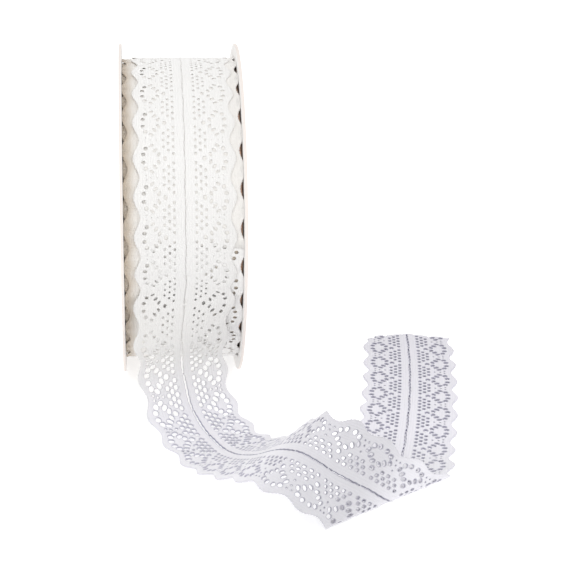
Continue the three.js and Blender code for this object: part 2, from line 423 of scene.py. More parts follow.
def edge_points(side):
    """The points that one edge of the trim passes through, from the roll to the fold."""
    back = 2 * math.pi * (1 + LEAVING_ROW) / ROWS_PER_TURN
    radius = OUTER_RADIUS - START_SINK
    points = [
        np.array(
            [
                WANDER[0][1] + side * HALF,
                -radius * math.cos(back),
                AXLE_HEIGHT + radius * math.sin(back),
            ]
        )
    ]
    for x, y, z, heading, rise in SECTIONS:
        sideways = direction(math.radians(heading), math.radians(rise))
        points.append(np.array([x, y, z]) + sideways * side * HALF)
    for row in (FOLD_ROW, FOLD_ROW + 1):
        c, d = plane_coordinates(side, row)
        points.append(FOLD_CORNER + CREASE * c - UPHILL * d)
    return np.array(points)


LEFT_EDGE = edge_points(-1)
RIGHT_EDGE = edge_points(1)


def hanging(u, row):
    """The trim from the roll down to the table and up to the crest."""
    share = ((u + 1) / 2)[:, None]
    point = smooth_curve(LEFT_EDGE, row + 1) * (1 - share) + smooth_curve(RIGHT_EDGE, row + 1) * share
    point[:, 2] = np.maximum(point[:, 2], REST_HEIGHT)
    return point


def wound(u, row):
    """The wound lace, a spiral whose edge turns up where a layer lies against a disc."""
    slip = np.interp(-row / ROWS_PER_TURN, WANDER_TURNS, WANDER_SLIPS)
    length = (LEAVING_ROW - row - slip) * WOUND_PITCH
    spread = OUTER_RADIUS**2 - LAYER_RISE * length / math.pi
    angle = (OUTER_RADIUS - np.sqrt(spread)) * 2 * math.pi / LAYER_RISE
    turn = angle / (2 * math.pi)
    x = u * HALF + np.interp(turn, WANDER_TURNS, WANDER_SHIFTS)
    excess = np.maximum(np.abs(x) - WOUND_LIMIT, 0)
    x = np.clip(x, -WOUND_LIMIT, WOUND_LIMIT)
    radius = OUTER_RADIUS - LAYER_RISE * turn + TURN_UP * excess
    y = -radius * np.cos(angle)
    z = AXLE_HEIGHT + radius * np.sin(angle)
    return np.stack([x, y, z], axis=-1)


def proud(u, row):
    """Extra height of the right-hand side, where the trim turns over its crest."""
    return PROUD_HEIGHT * ((u + 1) / 2) ** 2 * np.exp(-((row - PROUD_ROW) ** 2))


def ruffle(u, row):
    """Small waves along the edges of the loose end, away from the roll and the fold."""
    loose = smoothstep(row, *RUFFLE_ROWS)
    wave = 0.5 + 0.5 * np.sin(2 * np.pi * row * RUFFLE_RATE + RUFFLE_START * np.sign(u))
    return RUFFLE_HEIGHT * loose * wave * np.abs(u) ** 4


def trim_point(u, row, radius):
    """A point on the middle of the trim's thickness, wherever the row lies."""
    on_roll = wound(u, np.minimum(row, 1))
    free = np.where((row < FOLD_ROW)[:, None], hanging(u, np.clip(row, -1, FOLD_ROW)), 0)
    beyond = folded(u, np.maximum(row, FOLD_ROW), radius)
    free = np.where((row < FOLD_ROW)[:, None], free, beyond)
    free[:, 2] += np.where(plane_coordinates(u, row)[1] < 0, proud(u, row), 0)
    leave = smoothstep(row, 0, 1)[:, None]
    return on_roll * (1 - leave) + free * leave


def trim_sheet(u, row, radius):
    """Points and unit normals on the middle of the trim's thickness."""
    step = SHEET_STEP
    point = trim_point(u, row, radius)
    sideways = trim_point(u + step, row, radius) - trim_point(u - step, row, radius)
    forward = trim_point(u, row + step, radius) - trim_point(u, row - step, radius)
    normal = np.cross(forward, sideways)
    normal /= np.linalg.norm(normal, axis=1)[:, None]
    lift = ruffle(u, row)
    point = point + normal * np.where(row < FOLD_ROW + 1, lift, 0)[:, None]
    point[:, 2] += np.where(row > FLAT_ROW, lift * smoothstep(row, FLAT_ROW, FLAT_ROW + 1), 0)
    return point, normal


def pattern_lag(u, row):
    """How many rows the lace's pattern is behind the sheet's own rows."""
    on_roll = (ROLL_LAG + ROLL_LAG_RATE * row) * (1 - smoothstep(row, 0, 1))
    at_crest = CREST_LAG + CREST_SHEAR * u
    fold = FOLD_START + (u + 1) * CREASE_RUN / PITCH
    settled = smoothstep(row - fold, *SETTLE_ROWS)
    turning = at_crest * smoothstep(row, *TURN_ROWS) - (at_crest - END_LAG) * settled
    return on_roll + turning


def sheet_row(u, pattern_row):
    """The row of the sheet at a place of the lace pattern, found by closing in on it."""
    row = pattern_row
    for _ in range(CLOSING_PASSES):
        row = pattern_row + pattern_lag(u, row)
    return row


def inside(points, loops):
    """Which of the points lie inside the closed loops, by counting crossings."""
    found = np.zeros(len(points), dtype=bool)
    for loop in loops:
        a = loop
        b = np.roll(loop, -1, axis=0)
        for (ax, ay), (bx, by) in zip(a, b):
            if ay == by:
                continue
            crosses = (ay > points[:, 1]) != (by > points[:, 1])
            x = ax + (points[:, 1] - ay) * (bx - ax) / (by - ay)
            found ^= crosses & (points[:, 0] < x)
    return found


def oval(u, v, half_width, half_length, turn, count, squareness):
    """A closed loop in millimetres round a hole of the pattern."""
    angle = np.arange(count) * 2 * np.pi / count + np.pi / count
    x = half_width * np.sign(np.cos(angle)) * np.abs(np.cos(angle)) ** (1 - squareness)
    y = half_length * np.sign(np.sin(angle)) * np.abs(np.sin(angle)) ** (1 - squareness)
    sine, cosine = math.sin(math.radians(turn)), math.cos(math.radians(turn))
    return np.stack(
        [u * HALF + x * cosine - y * sine, v * PITCH + x * sine + y * cosine], axis=-1
    )


def slit_loop(widen):
    """The slit down the middle, slightly wavy, with a bridge of thread at each peak."""
    v = np.linspace(SLIT_START, 1 - SLIT_START, SLIT_STEPS)
    sway = SLIT_SWAY * np.sin(2 * np.pi * v) + SLIT_SWAY * np.sin(10 * np.pi * v)
    half = max(SLIT_HALF + widen, SLIT_LEAST) * SLIT_TAPER
    right = np.stack([sway + half, v * PITCH], axis=-1)
    left = np.stack([sway - half, v * PITCH], axis=-1)
    return np.vstack([right, left[::-1]])


def pattern_holes(widen):
    """The loops of all the holes in one scallop, each made wider by the given amount."""
    loops = [slit_loop(widen)]
    halves = []
    for u, count in BLOCK_COLUMNS:
        for i in range(count):
            v = 0.5 + (i - (count - 1) / 2) * BLOCK_SPACING
            halves.append((u, v, *BLOCK_HOLE, 0, *BLOCK_OUTLINE))
    for u, v, width, length, turn in FLOWER_HOLES:
        halves.append((u, v, width, length, turn, *FLOWER_OUTLINE))
        if v > 0:
            halves.append((u, 1 - v, width, length, -turn, *FLOWER_OUTLINE))
    for u, v in PIN_HOLES:
        halves.append((u, v, PIN_RADIUS, PIN_RADIUS, 0, *PIN_OUTLINE))
        if v != 0.5:
            halves.append((u, 1 - v, PIN_RADIUS, PIN_RADIUS, 0, *PIN_OUTLINE))
    for u, v, width, length, turn, count, square in halves:
        for side in (-1, 1):
            loops.append(
                oval(side * u, v, width + widen, length + widen, side * turn, count, square)
            )
    return loops


def scallop_edge(side, v):
    """The scalloped edge with the small loops of thread that finish it."""
    depth = SCALLOP_DEPTH * np.sin(np.pi * v) ** 2
    steps = np.round(v * EDGE_STEPS).astype(int)
    picot = np.where(steps % 2 == 0, PICOT_DEPTH, -PICOT_DEPTH)
    return np.stack([side * (HALF - depth + picot - PICOT_DEPTH), v * PITCH], axis=-1)


def triangulate(points, edges):
    """Triangles between the points that keep the edges. Where edges cross, points are added."""
    result = geometry.delaunay_2d_cdt(
        [Vector(point) for point in points], edges, [], 0, MERGE_DISTANCE, True
    )
    made, _, triangles, origins = result[:4]
    fresh = len(points)
    place = np.zeros(len(made), dtype=int)
    extra = []
    for k, origin in enumerate(origins):
        if origin:
            place[k] = origin[0]
        else:
            place[k] = fresh + len(extra)
            extra.append(made[k][:])
    if extra:
        points = np.vstack([points, np.array(extra)])
    return points, place[np.array(triangles)]


def lace_tile(detail, widen, cut=None):
    """One scallop of lace: its points in millimetres, its triangles, and how much of the painted
    rim shade each point takes. The points start with the lower seam and end with the upper one,
    or with the cut."""
    half_seam = np.array(SEAM if detail else COARSE_SEAM)
    seam = np.vstack([half_seam[:0:-1] * (-1, 1), half_seam]) * (HALF, PITCH)
    upper = seam + (0, PITCH) if cut is None else ragged_cut(cut)
    steps = np.arange(1, EDGE_STEPS) / EDGE_STEPS
    left_top, right_top = upper[[0, -1], 1] / PITCH - CORNER_MARGIN
    right = scallop_edge(1, steps[steps < right_top])
    left = scallop_edge(-1, steps[steps < left_top])[::-1]
    outline = np.vstack([seam, right, upper[::-1], left])
    holes = pattern_holes(widen) if detail else []
    if cut is not None:
        holes = [hole for hole in holes if hole[:, 1].min() < cut * PITCH - CUT_MARGIN]
    rims = np.vstack([right, left, *holes])
    fixed = np.vstack([seam, upper, rims])
    threads = pattern_holes(widen + THREAD_BAND) if detail else []
    threads += [right - (EDGE_BAND, 0), left + (EDGE_BAND, 0)]
    free = apart(np.vstack(threads), fixed, THREAD_SPACING)
    spacing = FINE_SPACING if detail else COARSE_SPACING
    others = np.vstack([fixed, free])
    free = np.vstack([free, apart(grid(spacing), others, CLEAR_SHARE * spacing)])
    free = free[inside(free, [outline]) & ~inside(free, holes)]
    body = np.vstack([right, left, *holes, free])
    points = np.vstack([seam, body, upper])
    count = len(points)
    first, last = len(seam), count - len(upper)
    edges = chain(range(first)) + chain(range(last, count))
    edges += chain([first - 1, *range(first, first + len(right)), count - 1])
    start = first + len(right)
    edges += chain([last, *range(start, start + len(left)), 0])
    start += len(left)
    for hole in holes:
        edges += chain([*range(start, start + len(hole)), start])
        start += len(hole)
    points, triangles = triangulate(points, edges)
    centres = points[triangles].mean(axis=1)
    triangles = triangles[inside(centres, [outline]) & ~inside(centres, holes)]
    rim = np.zeros(len(points))
    edge = len(right) + len(left)
    rim[first : first + edge] = EDGE_RIM
    rim[first + edge : first + len(rims)] = HOLE_RIM
    if detail:
        rim[first + edge : first + edge + len(holes[0])] = SLIT_RIM
    if cut is None:
        rim[[0, first - 1, last, count - 1]] = EDGE_RIM
    else:
        rim[last:] = EDGE_RIM
    return points, triangles, rim


def ragged_cut(cut):
    """The cut end of the trim, with its corners drawn back and a few short threads."""
    corners = cut - np.array(CORNER_BACK) / PITCH
    left, right = (scallop_edge(side, v) for side, v in zip((-1, 1), corners[:, None]))
    x = np.linspace(left[0, 0], right[0, 0], CUT_STEPS)
    corner = smoothstep(np.abs(np.linspace(-1, 1, CUT_STEPS)), CORNER_START, 1.0)
    back = np.where(x < 0, *CORNER_BACK) * corner
    bulge = CUT_BULGE * np.exp(-((x / CUT_BULGE_WIDTH) ** 2))
    count = np.arange(CUT_STEPS)
    threads = FRAY * np.where(count % 2 == 0, 1, -1) * np.cos(count * FRAY_RATE)
    y = cut * PITCH - back + bulge + threads * (1 - corner)
    return np.stack([x, y], axis=-1)


def grid(spacing):
    """Staggered points over one scallop."""
    rows = np.arange(spacing / 2, PITCH, spacing * ROW_SHARE)
    columns = np.arange(-HALF, HALF + spacing, spacing)
    points = [
        (x + (i % 2) * spacing / 2, y) for i, y in enumerate(rows) for x in columns
    ]
    return np.array(points)


def apart(points, others, distance):
    """The points that lie at least the distance from the others and from each other."""
    kept = []
    cells = {}
    for other in others:
        key = (int(other[0] // distance), int(other[1] // distance))
        cells.setdefault(key, []).append(other)
    for point in points:
        cx, cy = int(point[0] // distance), int(point[1] // distance)
        close = False
        for i in (-1, 0, 1):
            for j in (-1, 0, 1):
                for other in cells.get((cx + i, cy + j), ()):
                    if math.hypot(point[0] - other[0], point[1] - other[1]) < distance:
                        close = True
        if not close:
            kept.append(point)
            cells.setdefault((cx, cy), []).append(point)
    return np.array(kept).reshape(-1, 2)


def chain(indices):
    """The edges from each point of a list to the next."""
    indices = list(indices)
    return list(zip(indices[:-1], indices[1:]))


def lace_band(first_row, widens, detail, cut=None):
    """Scallops of lace joined end to end, one for each amount that its holes are wider by:
    u, pattern row, triangles, shares of painted rim shade, and which points are the band's ends."""
    kinds = {widen: lace_tile(detail, widen) for widen in set(widens)}
    tiles = [kinds[widen] for widen in widens]
    if cut is not None:
        tiles.append(lace_tile(detail, widens[-1], cut))
    seam = 2 * len(SEAM if detail else COARSE_SEAM) - 1
    flat, faces, rims = [], [], []
    start = 0
    for i, (points, triangles, rim) in enumerate(tiles):
        own = len(points) - (seam if i < len(tiles) - 1 else 0)
        flat.append(points[:own] + (0, i * PITCH))
        faces.append(triangles + start)
        rims.append(rim[:own])
        start += own
    flat = np.vstack(flat)
    ends = np.zeros(start, dtype=bool)
    ends[:seam] = True
    if cut is None:
        ends[-seam:] = True
    u = flat[:, 0] / HALF
    row = first_row + flat[:, 1] / PITCH
    return u, row, np.vstack(faces), np.concatenate(rims), ends


def lace_shell(band, settings, close_ends):
    """A thin sheet of lace with two faces and the walls between them: points, triangles, and the
    place in the pattern and the share of painted rim shade of each point."""
    u, row, triangles, rim, ends = band
    row_on_sheet = sheet_row(u, row)
    middle, normal = trim_sheet(u, row_on_sheet, settings.fold_radius / MM)
    tight, loose, flat = settings.wound_thickness, settings.loose_thickness, settings.end_thickness
    thickness = np.interp(row_on_sheet, THICKNESS_ROWS, (tight, loose, loose, flat))
    half = thickness / MM / 2 * np.where(rim > 0, settings.rounding, 1.0)
    points = np.vstack([middle + normal * half[:, None], middle - normal * half[:, None]])
    count = len(u)
    edges = np.vstack([triangles[:, [0, 1]], triangles[:, [1, 2]], triangles[:, [2, 0]]])
    key = np.sort(edges, axis=1)
    _, index, uses = np.unique(key[:, 0] * count + key[:, 1], return_index=True, return_counts=True)
    border = edges[index[uses == 1]]
    if not close_ends:
        border = border[~(ends[border[:, 0]] & ends[border[:, 1]])]
    a, b = border[:, 0], border[:, 1]
    walls = np.vstack(
        [np.stack([b, a, a + count], axis=-1), np.stack([b, a + count, b + count], axis=-1)]
    )
    faces = np.vstack([triangles, triangles[:, ::-1] + count, walls])
    pattern = np.stack([u * HALF, row * PITCH], axis=-1)
    return points, faces, np.vstack([pattern, pattern]), np.concatenate([rim, rim])


def make_piece(name, surface, materials, node, material_of=None):
    """A mesh piece in the row frame that rides on the spool and stands for the CAD node."""
    points, faces, pattern, wall = surface
    mesh = bpy.data.meshes.new(name)
    mesh.from_pydata((points * MM + GROUND).tolist(), [], faces.tolist())
    mesh.polygons.foreach_set("use_smooth", np.ones(len(mesh.polygons), dtype=bool))
    layer = mesh.uv_layers.new(name=PATTERN_MAP)
    corners = np.zeros(len(mesh.loops), dtype=np.int32)
    mesh.loops.foreach_get("vertex_index", corners)
    layer.data.foreach_set("uv", pattern[corners].astype(np.float32).ravel())
    # Each point's share of the painted rim shade
    walls = mesh.attributes.new(RIM_SHADE_MAP, "FLOAT", "POINT")
    walls.data.foreach_set("value", wall.astype(np.float32))
    for material in materials:
        mesh.materials.append(material)
    if material_of is not None:
        mesh.polygons.foreach_set("material_index", material_of.astype(np.int32))
    mesh.update()
    piece = bpy.data.objects.new(name, mesh)
    bpy.context.collection.objects.link(piece)
    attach(piece, "root")
    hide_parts(node)
    return piece


def ring(x, radius, angle):
    """A ring of points round the axis of the spool."""
    y = radius * np.cos(angle)
    z = AXLE_HEIGHT + radius * np.sin(angle)
    return np.stack([np.full(len(angle), x), y, z], axis=-1)


def ring_faces(rings, count):
    """Triangles between rings of points, each joined to the next."""
    faces = []
    for i in range(rings - 1):
        for j in range(count):
            k = (j + 1) % count
            a, b = i * count + j, i * count + k
            c, d = (i + 1) * count + k, (i + 1) * count + j
            faces += [(a, b, c), (a, c, d)]
    return faces


def add_node(tree, kind, inputs=None, **options):
    """A shader node with its options, input values and links set."""
    node = tree.nodes.new(kind)
    for name, value in options.items():
        setattr(node, name, value)
    for name, value in (inputs or {}).items():
        if isinstance(value, bpy.types.NodeSocket):
            tree.links.new(value, node.inputs[name])
        else:
            node.inputs[name].default_value = value
    return node


def math_node(tree, operation, first, second=0.0, third=0.0):
    """The result of a sum of one, two or three values."""
    inputs = {0: first, 1: second, 2: third}
    return add_node(tree, "ShaderNodeMath", inputs, operation=operation).outputs[0]


def mix_colours(tree, factor, first, second):
    """The first colour where the factor is 0, and the second where it is 1."""
    inputs = {0: factor, 6: first, 7: second}
    return add_node(tree, "ShaderNodeMix", inputs, data_type="RGBA").outputs[2]


def noise(tree, vector, scale, detail=2.0, roughness=0.5):
    """Soft random variation from 0 to 1."""
    inputs = {"Vector": vector, "Scale": scale, "Detail": detail, "Roughness": roughness}
    return add_node(tree, "ShaderNodeTexNoise", inputs).outputs[0]


def surface_material(name, roughness, sheen):
    """A new material with only a surface shader, and its values that are the same all over."""
    material = bpy.data.materials.new(name)
    material.use_nodes = True
    tree = material.node_tree
    tree.nodes.clear()
    output = tree.nodes.new("ShaderNodeOutputMaterial")
    shader = tree.nodes.new("ShaderNodeBsdfPrincipled")
    shader.inputs["Roughness"].default_value = roughness
    shader.inputs["Sheen Weight"].default_value = sheen
    shader.inputs["Specular IOR Level"].default_value = SPECULAR
    tree.links.new(shader.outputs[0], output.inputs["Surface"])
    return material, tree, shader


def add_bump(tree, shader, height, strength, depth):
    """Relief of the surface, with its depth in millimetres."""
    inputs = {"Strength": strength, "Distance": depth * MM, "Height": height}
    bump = add_node(tree, "ShaderNodeBump", inputs)
    tree.links.new(bump.outputs[0], shader.inputs["Normal"])


def map_range(tree, value, low, high):
    """A value that rises from 0 at the low end to 1 at the high one."""
    inputs = {"Value": value, "From Min": low, "From Max": high}
    return add_node(tree, "ShaderNodeMapRange", inputs).outputs[0]


def rgba(colour):
    """The colour with full opacity."""
    return (*colour, 1.0)


def lace_material(name, stages, settings):
    """Knitted cotton lace: ribs along the trim, stitches across them and a soft fuzz. Each stage
    is a row of the pattern and the colours of threads, of valleys with painted shade and of the
    painted rim shade from there on."""
    material, tree, shader = surface_material(name, roughness=0.9, sheen=0.2)
    shader.inputs["Subsurface Weight"].default_value = GLOW_THROUGH
    shader.inputs["Subsurface Radius"].default_value = (1.0, 1.0, 1.0)
    shader.inputs["Subsurface Scale"].default_value = settings.glow_reach
    place = add_node(tree, "ShaderNodeUVMap", uv_map=PATTERN_MAP).outputs[0]
    split = add_node(tree, "ShaderNodeSeparateXYZ", {0: place})
    across, along = split.outputs[0], split.outputs[1]
    around = 2 * math.pi * MM
    sway = noise(tree, place, SWAY_SCALE)
    rib_phase = math_node(tree, "MULTIPLY", across, around / settings.rib_width)
    rib_phase = math_node(tree, "MULTIPLY_ADD", sway, RIB_SWAY, rib_phase)
    rib = math_node(tree, "COSINE", rib_phase)
    lean = math_node(tree, "MULTIPLY", math_node(tree, "ABSOLUTE", rib), STITCH_LEAN)
    stitch_phase = math_node(
        tree, "MULTIPLY_ADD", along, around / settings.stitch_length, lean
    )
    stitch_phase = math_node(tree, "MULTIPLY_ADD", sway, STITCH_SWAY, stitch_phase)
    stitch = math_node(tree, "SINE", stitch_phase)
    knit = math_node(tree, "MULTIPLY_ADD", rib, RIB_SHARE, KNIT_MIDDLE)
    knit = math_node(tree, "MULTIPLY_ADD", stitch, STITCH_SHARE, knit)
    coordinates = add_node(tree, "ShaderNodeTexCoord").outputs["Object"]
    fuzz = noise(tree, coordinates, FUZZ_SCALE, detail=3.0, roughness=0.7)
    height = math_node(tree, "MULTIPLY_ADD", fuzz, FUZZ_SHARE, knit)
    patch = noise(tree, coordinates, PATCH_SCALE)
    relief = math_node(tree, "MULTIPLY", height, KNIT_TONE)
    tone = math_node(tree, "MULTIPLY_ADD", patch, PATCH_SHARE, relief)
    thread, valley, wall = (
        staged_colour(tree, along, [(row, colours[k]) for row, colours in stages])
        for k in range(3)
    )
    # Darker valley colour where the knit is low: painted shade in the valleys, mixed with random patches
    # of tone
    colour = mix_colours(tree, tone, valley, thread)
    # Painted rim shade: a darker colour where shade falls in the holes and along the edges
    rim = add_node(tree, "ShaderNodeAttribute", attribute_name=RIM_SHADE_MAP).outputs["Fac"]
    colour = mix_colours(tree, rim, colour, wall)
    tree.links.new(colour, shader.inputs["Base Color"])
    add_bump(tree, shader, height, KNIT_BUMP, KNIT_DEPTH)
    return material


def darker(colours, share):
    """The colours with only a share of their light."""
    return [tuple(share * value for value in colour) for colour in colours]


def part_colours(settings, part):
    """The colours of a part's threads, of its valleys with painted shade, and of its painted rim shade."""
    return [getattr(settings, f"{part}_{place}") for place in ("thread", "valley", "wall")]


def shaded(colours, shades):
    """A stage for each row in the shades, with the colours as dark as the painted shade there."""
    return [(row, darker(colours, share)) for row, share in shades]


def staged_colour(tree, along, stages):
    """A colour that changes smoothly from stage to stage along the trim."""
    first, last = stages[0][0], stages[-1][0]
    share = map_range(tree, along, first * PITCH, last * PITCH)
    ramp = add_node(tree, "ShaderNodeValToRGB", {0: share})
    elements = ramp.color_ramp.elements
    elements.remove(elements[1])
    for row, colour in stages:
        element = elements[0] if row == first else elements.new((row - first) / (last - first))
        element.color = rgba(colour)
    return ramp.outputs[0]


def card_material(settings):
    """Matt off-white card: short fibres, a faint mottling and a warmer cut edge."""
    material, tree, shader = surface_material("matt_card", roughness=0.8, sheen=0.0)
    coordinates = add_node(tree, "ShaderNodeTexCoord").outputs["Object"]
    fibres = noise(tree, coordinates, FIBRE_SCALE, detail=4.0, roughness=0.65)
    mottle = noise(tree, coordinates, MOTTLE_SCALE, detail=3.0)
    inputs = {0: coordinates, 1: (0, 1, 1)}
    flat = add_node(tree, "ShaderNodeVectorMath", inputs, operation="MULTIPLY").outputs[0]
    inputs = {0: flat, 1: (0, GROUND[1], AXLE_HEIGHT * MM)}
    radius = add_node(tree, "ShaderNodeVectorMath", inputs, operation="DISTANCE").outputs["Value"]
    rim = map_range(tree, radius, RIM_START * MM, DISC_RADIUS * MM)
    patches = math_node(tree, "MULTIPLY", mottle, MOTTLE_SHARE)
    tone = math_node(tree, "MULTIPLY_ADD", fibres, FIBRE_SHARE, patches)
    face = mix_colours(tree, tone, rgba(settings.shade), rgba(settings.face))
    colour = mix_colours(tree, rim, face, rgba(settings.edge))
    tree.links.new(colour, shader.inputs["Base Color"])
    add_bump(tree, shader, fibres, FIBRE_BUMP, FIBRE_DEPTH)
    return material


def floor_material(settings):
    """A smooth pale floor, softly lit from below as on a light table."""
    material, tree, shader = surface_material("pale_floor", roughness=0.9, sheen=0.0)
    coordinates = add_node(tree, "ShaderNodeTexCoord").outputs["Object"]
    mottle = noise(tree, coordinates, FLOOR_SCALE)
    shade = tuple(value * FLOOR_SHADE for value in settings.floor)
    colour = mix_colours(tree, mottle, rgba(shade), rgba(settings.floor))
    tree.links.new(colour, shader.inputs["Base Color"])
    shader.inputs["Emission Color"].default_value = WHITE
    shader.inputs["Emission Strength"].default_value = settings.floor_glow
    return material


def colour_setting(name, description, default):
    """A colour that a user can change."""
    return FloatVectorProperty(name=name, description=description, subtype="COLOR", default=default)


def length_setting(name, description, default):
    """A length in metres that a user can change."""
    return FloatProperty(name=name, description=description, unit="LENGTH", default=default)


class CardSettings(PropertyGroup):
    """Colours and rounding of the two card discs"""

    face: colour_setting("Face", "Colour of the card's face", (0.93, 0.92, 0.91))
    shade: colour_setting("Mottling", "Colour between the card's fibres", (0.88, 0.865, 0.85))
    edge: colour_setting("Cut edge", "Colour of the card's cut rim", (0.86, 0.80, 0.755))
    rounding: length_setting("Rim rounding", "Radius of the rim's two corners", 0.00025)


class LaceSettings(PropertyGroup):
    """Threads and colours of the lace"""

    wound_thickness: length_setting(
        "Wound thickness", "Thickness of the lace where it is wound tight", 0.00026
    )
    loose_thickness: length_setting(
        "Loose thickness", "Thickness of the lace where it hangs and lies loose", 0.00065
    )
    end_thickness: length_setting(
        "End thickness", "Thickness of the lace where it lies on the table", 0.00082
    )
    rounding: FloatProperty(
        name="Thread rounding",
        description="Thickness of the lace at the rims of its holes, as a share of its thickness",
        subtype="FACTOR",
        min=0.2,
        max=1.0,
        default=0.8,
    )
    glow_reach: length_setting("Glow reach", "How far light spreads inside the threads", 0.0006)
    rib_width: length_setting("Rib width", "Distance between the ribs of the knit", 0.0009)
    stitch_length: length_setting("Stitch length", "Distance between stitches along a rib", 0.00065)
    fold_radius: length_setting("Fold radius", "Radius of the fold near the end", 0.0009)
    wound_thread: colour_setting("Wound thread", "Colour of the wound lace", (0.935, 0.925, 0.91))
    # Painted shade in the wound lace's knit valleys, with random patches of tone
    wound_valley: colour_setting(
        "Wound valleys", "Colour between the wound lace's threads", (0.885, 0.87, 0.85)
    )
    # Painted rim shade of the wound lace, the shade seen in its holes and along its edges
    wound_wall: colour_setting(
        "Wound hole walls", "Colour of the threads round the wound lace's holes", (0.91, 0.895, 0.87)
    )
    # The loose end's colours are painted light and shade: a cooler, darker copy of the wound lace's colour
    loose_thread: colour_setting("Loose thread", "Colour of the loose end", (0.845, 0.835, 0.875))
    # Painted shade in the loose end's knit valleys, with random patches of tone
    loose_valley: colour_setting(
        "Loose valleys", "Colour between the loose end's threads", (0.785, 0.775, 0.82)
    )
    # Painted rim shade of the loose end: the dark shade seen through its holes
    loose_wall: colour_setting(
        "Loose hole walls", "Colour of the threads round the loose end's holes", (0.36, 0.355, 0.45)
    )
    # The colours past the fold are painted shade: a cooler, darker copy of the wound lace's colour
    end_thread: colour_setting(
        "End thread", "Colour of the end that lies past the fold", (0.83, 0.815, 0.87)
    )
    # Painted shade in the knit valleys past the fold, with random patches of tone
    end_valley: colour_setting(
        "End valleys", "Colour between the threads of the end past the fold", (0.75, 0.74, 0.795)
    )
    # Painted rim shade of the end past the fold: the dark shade under the lace seen through its holes
    end_wall: colour_setting(
        "End hole walls", "Colour of the threads round the holes past the fold", (0.17, 0.165, 0.27)
    )
    # The turn beneath the outer one: painted shade, a warmer, darker copy of the wound lace's colour
    second_thread: colour_setting(
        "Second thread", "Colour of the turn just below the outer one", (0.93, 0.905, 0.87)
    )
    # Painted shade in the second turn's knit valleys, with random patches of tone
    second_valley: colour_setting(
        "Second valleys", "Colour between the threads of the second turn", (0.88, 0.85, 0.81)
    )
    # Painted warm brown shade on the edges of the turns deeper down, beside the discs
    inner_edge_shade: colour_setting(
        "Inner edges", "Colour of the edges of the turns deeper down", (0.6, 0.515, 0.42)
    )
    # Painted warm brown shade of the deep gaps between the lace and the discs
    deep_gap_shade: colour_setting("Deep thread", "Colour of the turns deep in the spool", (0.92, 0.63, 0.47))


class StageSettings(PropertyGroup):
    """Floor, lights and camera"""

    floor: colour_setting("Floor", "Colour of the floor", (0.76, 0.76, 0.765))
    floor_glow: FloatProperty(
        name="Floor glow", description="Strength of the light from below the floor", default=0.45
    )
    sky: FloatProperty(
        name="Sky", description="Strength of the soft light from all round", default=0.96
    )
    key: FloatProperty(
        name="Key light", description="Power of the large soft light", unit="POWER", default=1.6
    )
    lens: FloatProperty(name="Lens", description="Focal length in millimetres", default=100.0)


class SpoolSettings(PropertyGroup):
    """All the settings of the spool"""

    card: PointerProperty(type=CardSettings)
    lace: PointerProperty(type=LaceSettings)
    stage: PointerProperty(type=StageSettings)


class SPOOL_OT_card_discs(Operator):
    """Builds the two card discs with their softened rims and flat spots"""

    bl_idname = "spool.card_discs"
    bl_label = "Card Discs"

    def execute(self, context):
        settings = context.scene.spool.card
        material = card_material(settings)
        for name, node, middle in (
            ("disc_left", "flange_left", -(DISC_GAP + DISC_THICKNESS) / 2),
            ("disc_right", "flange_right", (DISC_GAP + DISC_THICKNESS) / 2),
        ):
            surface = disc_surface(middle, settings.rounding / MM)
            make_piece(name, surface, [material], node)
        return {"FINISHED"}


def disc_surface(middle, rounding):
    """A card disc at its place along the axis, with a flat spot on its softened rim."""
    angle = np.arange(DISC_STEPS) * 2 * np.pi / DISC_STEPS
    reach = np.minimum(DISC_RADIUS, AXLE_HEIGHT / np.maximum(-np.sin(angle), LEAST_SLOPE))
    half = DISC_THICKNESS / 2
    corner = rounding * CORNER_SHARE
    profile = [(inset, -half) for inset in (*DISC_INSETS, rounding)]
    profile += [(corner, -half + corner), (0.0, -half + rounding)]
    profile += [(inset, -side) for inset, side in reversed(profile)]
    rings = [
        ring(middle + side, np.maximum(reach - inset, LEAST_RADIUS), angle)
        for inset, side in profile
    ]
    points = np.vstack(rings)
    faces = np.array(ring_faces(len(rings), DISC_STEPS))
    return points, faces, points[:, 1:], np.zeros(len(points))


class SPOOL_OT_outer_turn(Operator):
    """Winds the outermost turn of lace, with all its holes"""

    bl_idname = "spool.outer_turn"
    bl_label = "Outer Turn of Lace"

    def execute(self, context):
        settings = context.scene.spool.lace
        # The wound lace's colour, with painted shade on the roll's lower front where the trim leaves it
        stages = shaded(part_colours(settings, "wound"), WOUND_SHADES)
        material = lace_material("wound_lace", stages, settings)
        band = lace_band(-OUTER_ROWS, [ROLL_WIDEN] * OUTER_ROWS, True)
        surface = lace_shell(band, settings, False)
        make_piece("wound_lace_outer", surface, [material], "roll")
        return {"FINISHED"}


